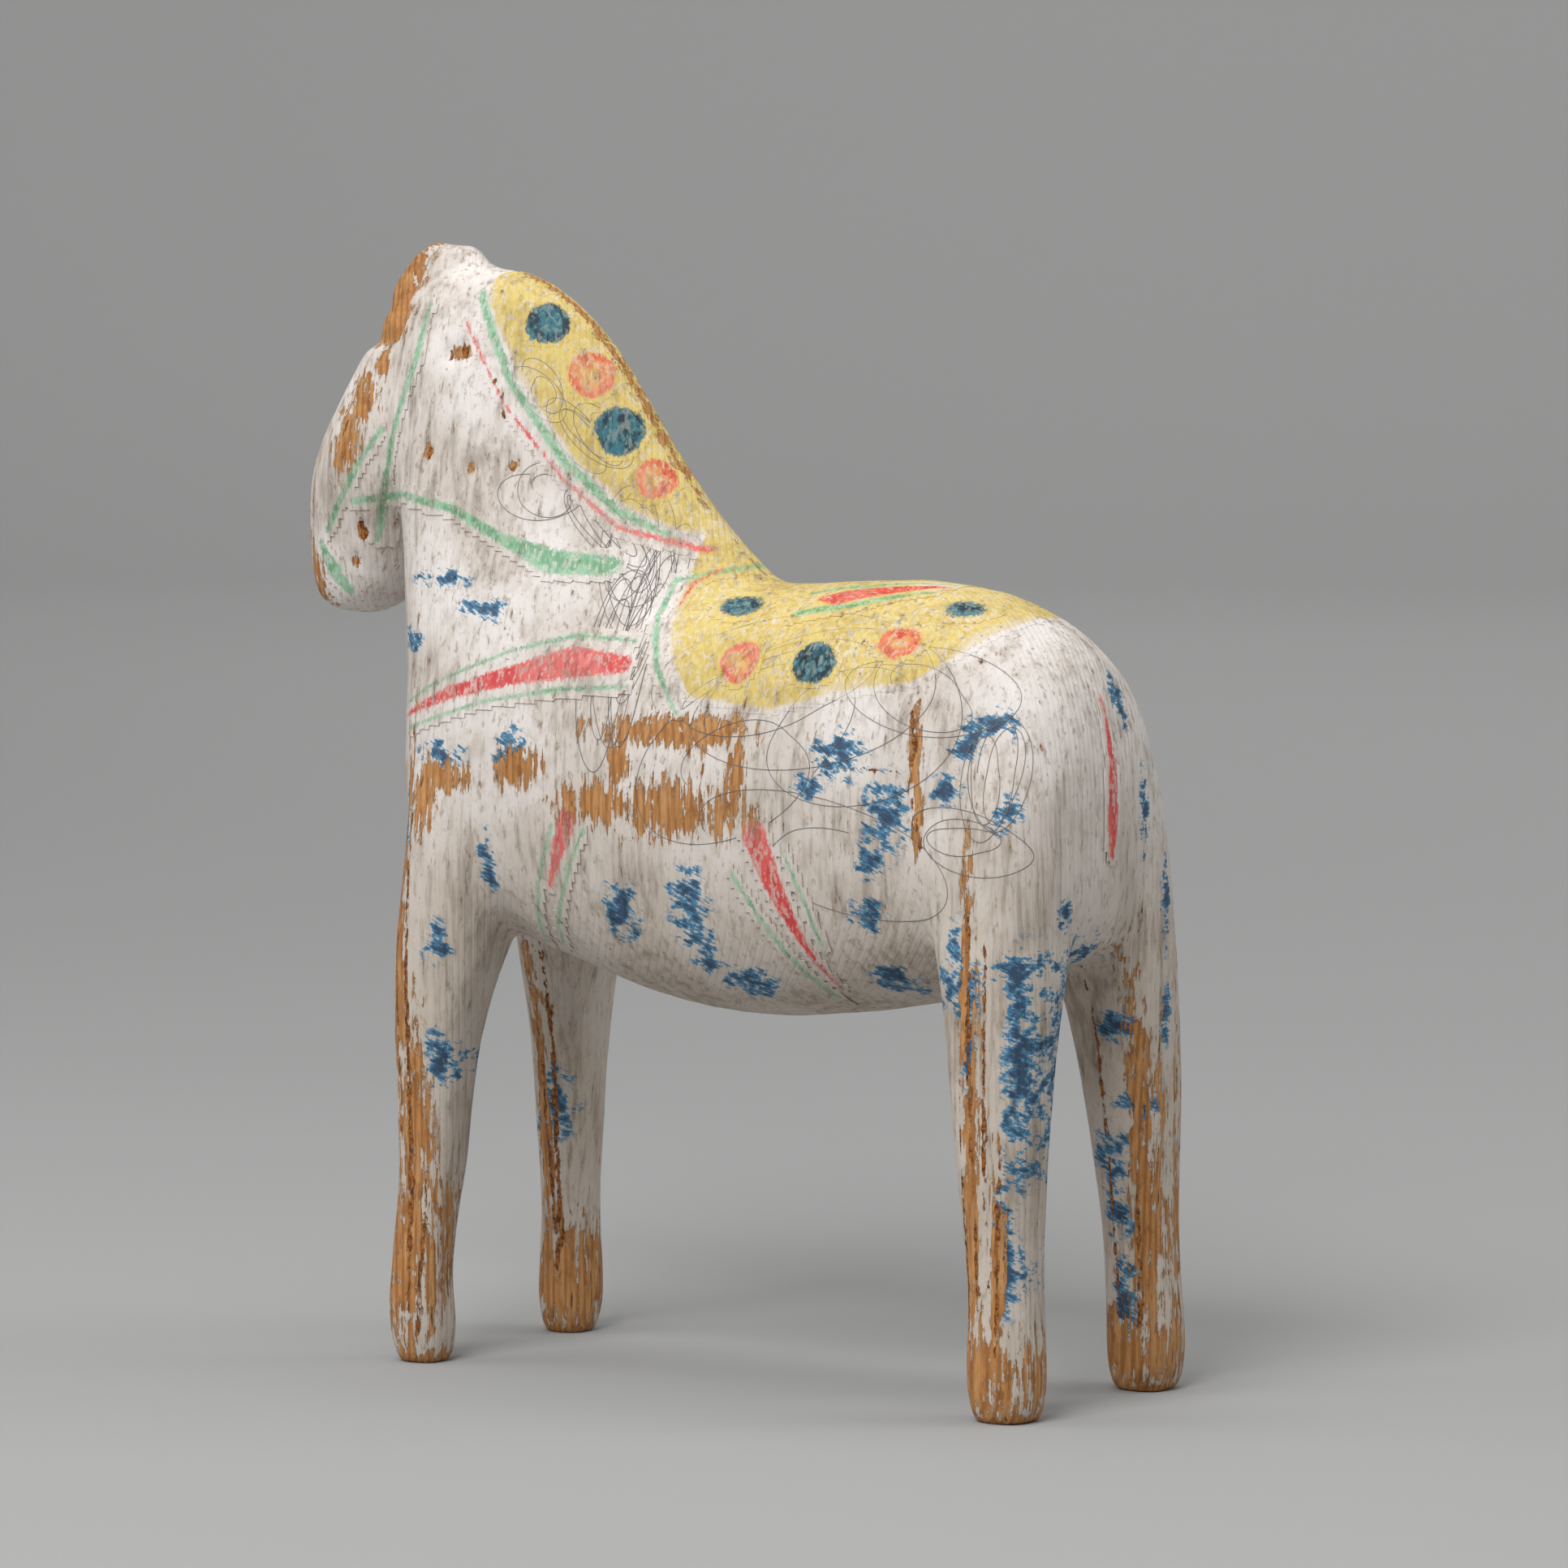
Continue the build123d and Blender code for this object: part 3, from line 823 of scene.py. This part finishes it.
@dataclass
class Scribbles:
    """A child's pencil loops over the left side, as thin graphite lines that follow the surface.

    Args:
        width: line width in mm.
    """

    width: float = 0.14

    def build(self, body: bpy.types.Mesh) -> bpy.types.Object:
        """Draws the lines on the body and makes them one mesh.

        Args:
            body: the body to draw on.

        Returns:
            The mesh of all the lines.
        """
        work = bmesh.new()
        work.from_mesh(body)
        tree = BVHTree.FromBMesh(work)
        work.free()
        curve = bpy.data.curves.new("scribbles", "CURVE")
        curve.dimensions = "3D"
        curve.bevel_depth = self.width / 2 * MM
        curve.bevel_resolution = 0
        curve.use_fill_caps = True
        for middle, size, turns, slant, drift in (
            ((24, 147), (5, 9), 5.3, 0.5, 3.0), ((30, 152), (7, 6), 4.2, 1.1, -4.0),
            ((18, 134), (3, 13), 6.4, 0.1, 2.0),
            ((22, 128), (4, 15), 3.4, 0.2, -1.0), ((36, 168), (5, 5), 4.4, 0.9, 6.0),
            ((46, 176), (4, 4), 3.1, 0.7, 3.0),
            ((-18, 125), (24, 10), 2.3, -0.3, 4.0), ((-8, 112), (20, 12), 1.6, -0.5, 6.0),
            ((-30, 120), (22, 12), 1.4, -0.2, 2.0),
            ((-60, 112), (4, 9), 4.2, 0.1, 3.0), ((-56, 101), (9, 4), 2.4, 0.3, 1.0),
            ((-46, 126), (12, 6), 2.2, 0.4, 2.0),
            ((-30, 96), (22, 8), 1.3, 0.4, 3.0), ((42, 158), (6, 4), 2.2, 0.2, 3.0),
        ):
            self.loop(curve, tree, middle, size, turns, slant, drift)
        rough = bpy.data.objects.new("scribbles", curve)
        bpy.context.scene.collection.objects.link(rough)
        return baked(rough, "pencil_scribbles")

    @staticmethod
    def loop(curve: bpy.types.Curve, tree: BVHTree, middle: tuple[float, float], size: tuple[float, float],
             turns: float,
             slant: float, drift: float) -> None:
        """Adds one wandering loop, where it meets the surface.

        Args:
            curve: the curve to add it to.
            tree: the body's surface.
            middle: its middle, x and z in mm.
            size: half its length and height, in mm.
            turns: how many times it goes round.
            slant: how far it is turned, in radians.
            drift: how far it wanders along, in mm.
        """
        line: list[Vector] = []
        for i in range(int(60 * turns)):
            turn = 2 * math.pi * i / 60
            wander = 0.35 * math.sin(turn * 0.37 + middle[0]) + 0.2 * math.sin(turn * 1.7)
            x = middle[0] + size[0] * (1 + wander) * math.cos(turn) + drift * (turn / 6.28 / turns - 0.5)
            z = middle[1] + size[1] * (1 + wander) * math.sin(turn + slant)
            start = Vector(((x - MIDDLE_X) * MM, 0.06, z * MM))
            place, normal, _, _ = tree.ray_cast(start, Vector((0, -1, 0)))
            if place is not None and normal.y > 0.25:
                line.append(place + normal * 0.03 * MM)
                continue
            Scribbles.add(curve, line)
            line = []
        Scribbles.add(curve, line)

    @staticmethod
    def add(curve: bpy.types.Curve, line: list[Vector]) -> None:
        """Adds one stretch of line, if it is long enough to see.

        Args:
            curve: the curve to add it to.
            line: points along it.
        """
        if len(line) < 5:
            return
        spline = curve.splines.new("POLY")
        spline.points.add(len(line) - 1)
        for point, place in zip(spline.points, line):
            point.co = (*place, 1)


@dataclass
class Studio:
    """A grey paper sweep, soft lights and the camera.

    Args:
        distance: from the horse to the camera, in mm.
        yaw: turn from the pure side view towards the tail, in degrees.
        rise: elevation above the horizon, in degrees.
        aim: height that the camera points at, in mm.
        lens: focal length in mm on a 36 mm sensor.
    """

    distance: float = 1650
    yaw: float = 34.3
    rise: float = 5.0
    aim: float = 106.5
    lens: float = 211.9

    def build(self) -> None:
        """Builds the sweep, the lights and the camera."""
        self.sweep()
        self.light("key", (-0.2, 1.3, 1.4), 0.9, 26)
        self.light("fill", (1.3, 0.9, 0.9), 1.0, 6)
        self.light("back", (-1.2, -0.7, 0.9), 0.8, 5)
        self.light("top", (0.0, 0.0, 1.7), 1.2, 10)
        self.light("wall", (0.9, -1.4, 1.6), 1.6, 16, (0.7, -3.0, 0.6))
        world = bpy.data.worlds.new("studio")
        world.use_nodes = True
        world.node_tree.nodes["Background"].inputs["Color"].default_value = linear("#E6E8EA")
        world.node_tree.nodes["Background"].inputs["Strength"].default_value = 0.45
        bpy.context.scene.world = world
        bpy.context.scene.view_settings.view_transform = "Standard"
        self.camera()

    def camera(self) -> None:
        """Places the camera behind the horse's left shoulder, looking at its middle."""
        yaw, rise = math.radians(self.yaw), math.radians(self.rise)
        back = Vector((-math.sin(yaw) * math.cos(rise), math.cos(yaw) * math.cos(rise), math.sin(rise)))
        camera = bpy.data.objects.new("camera", bpy.data.cameras.new("camera"))
        camera.data.lens = self.lens
        camera.data.sensor_width = 36
        camera.location = (Vector((-MIDDLE_X, 0, self.aim)) + back * self.distance) * MM
        camera.rotation_euler = (-back).to_track_quat("-Z", "Y").to_euler()
        bpy.context.scene.collection.objects.link(camera)
        bpy.context.scene.camera = camera

    @staticmethod
    def sweep() -> None:
        """A round paper sweep: a floor that curves up into a wall, spun from its profile."""
        work = bmesh.new()
        profile = [Vector((0, 0, 0)), Vector((2.2, 0, 0))]
        profile += [Vector((2.2 + 0.9 * math.sin(t), 0, 0.9 - 0.9 * math.cos(t)))
                    for t in np.linspace(0.1, math.pi / 2, 12)]
        profile.append(Vector((3.1, 0, 3.2)))
        verts = [work.verts.new(p) for p in profile]
        edges = [work.edges.new(pair) for pair in zip(verts, verts[1:])]
        bmesh.ops.spin(work, geom=verts + edges, axis=(0, 0, 1), cent=(0, 0, 0), steps=64, angle=2 * math.pi,
                       use_merge=True)
        bmesh.ops.remove_doubles(work, verts=work.verts, dist=0.0005)
        mesh = bpy.data.meshes.new("paper_sweep")
        work.to_mesh(mesh)
        work.free()
        mesh.shade_smooth()
        floor = bpy.data.objects.new("paper_sweep", mesh)
        bpy.context.scene.collection.objects.link(floor)
        material = bpy.data.materials.new("grey_paper")
        material.use_nodes = True
        shader = material.node_tree.nodes["Principled BSDF"]
        shader.inputs["Base Color"].default_value = linear("#A0A09F")
        shader.inputs["Roughness"].default_value = 0.8
        mesh.materials.append(material)
        floor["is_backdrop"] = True

    @staticmethod
    def light(name: str, place: tuple[float, float, float], size: float, power: float,
              aim: tuple[float, float, float] = (0.0, 0.0, 0.1)) -> None:
        """Adds a square soft light that faces the horse, or another aim.

        Args:
            name: the light's name.
            place: where it stands, in metres.
            size: length of its sides, in metres.
            power: its power in watts.
            aim: the point that it faces, in metres.
        """
        data = bpy.data.lights.new(name, "AREA")
        data.size = size
        data.energy = power
        lamp = bpy.data.objects.new(name, data)
        lamp.location = place
        lamp.rotation_euler = (Vector(aim) - lamp.location).to_track_quat("-Z", "Y").to_euler()
        lamp.visible_camera = False
        bpy.context.scene.collection.objects.link(lamp)


def main() -> None:
    """Builds the horse, its paint and the studio in order."""
    logging.basicConfig(level=logging.INFO, format="%(message)s")
    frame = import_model()
    cad_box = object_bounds()
    Studio().build()
    finish = PaintedPine()
    body = CarvedBody().build(frame["nodes"]["carved_block"])
    finish.write_fields(body.data)
    body.data.materials.append(finish.make("pine_and_ground"))
    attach(body, "root")
    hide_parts("carved_block")
    LOG.info("%s: %d faces", body.name, len(body.data.polygons))
    coats = {paint: finish.make(paint.value) for paint in Paint}
    painter = PaintedMarks()
    for layer, mark in enumerate(MARKS):
        for side in mark.sides:
            film = painter.film(body.data, mark, side, layer)
            finish.write_fields(film.data)
            film.data.materials.append(coats[mark.paint])
            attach(film, "root")
            if mark.film:
                film.name = mark.node(side) + "_film"
                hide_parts(mark.node(side))
            LOG.info("%s: %d faces", film.name, len(film.data.polygons))
    scribbles = Scribbles().build(body.data)
    scribbles.data.materials.append(Pencil().make())
    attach(scribbles, "root")
    LOG.info("%s: %d faces", scribbles.name, len(scribbles.data.polygons))
    boxes = {"cad": cad_box, "visual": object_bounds()}
    json.dumps({k: [list(map(float, c)) for c in v] for k,
                                                      v in boxes.items()})


if __name__ == "__main__":
    main()
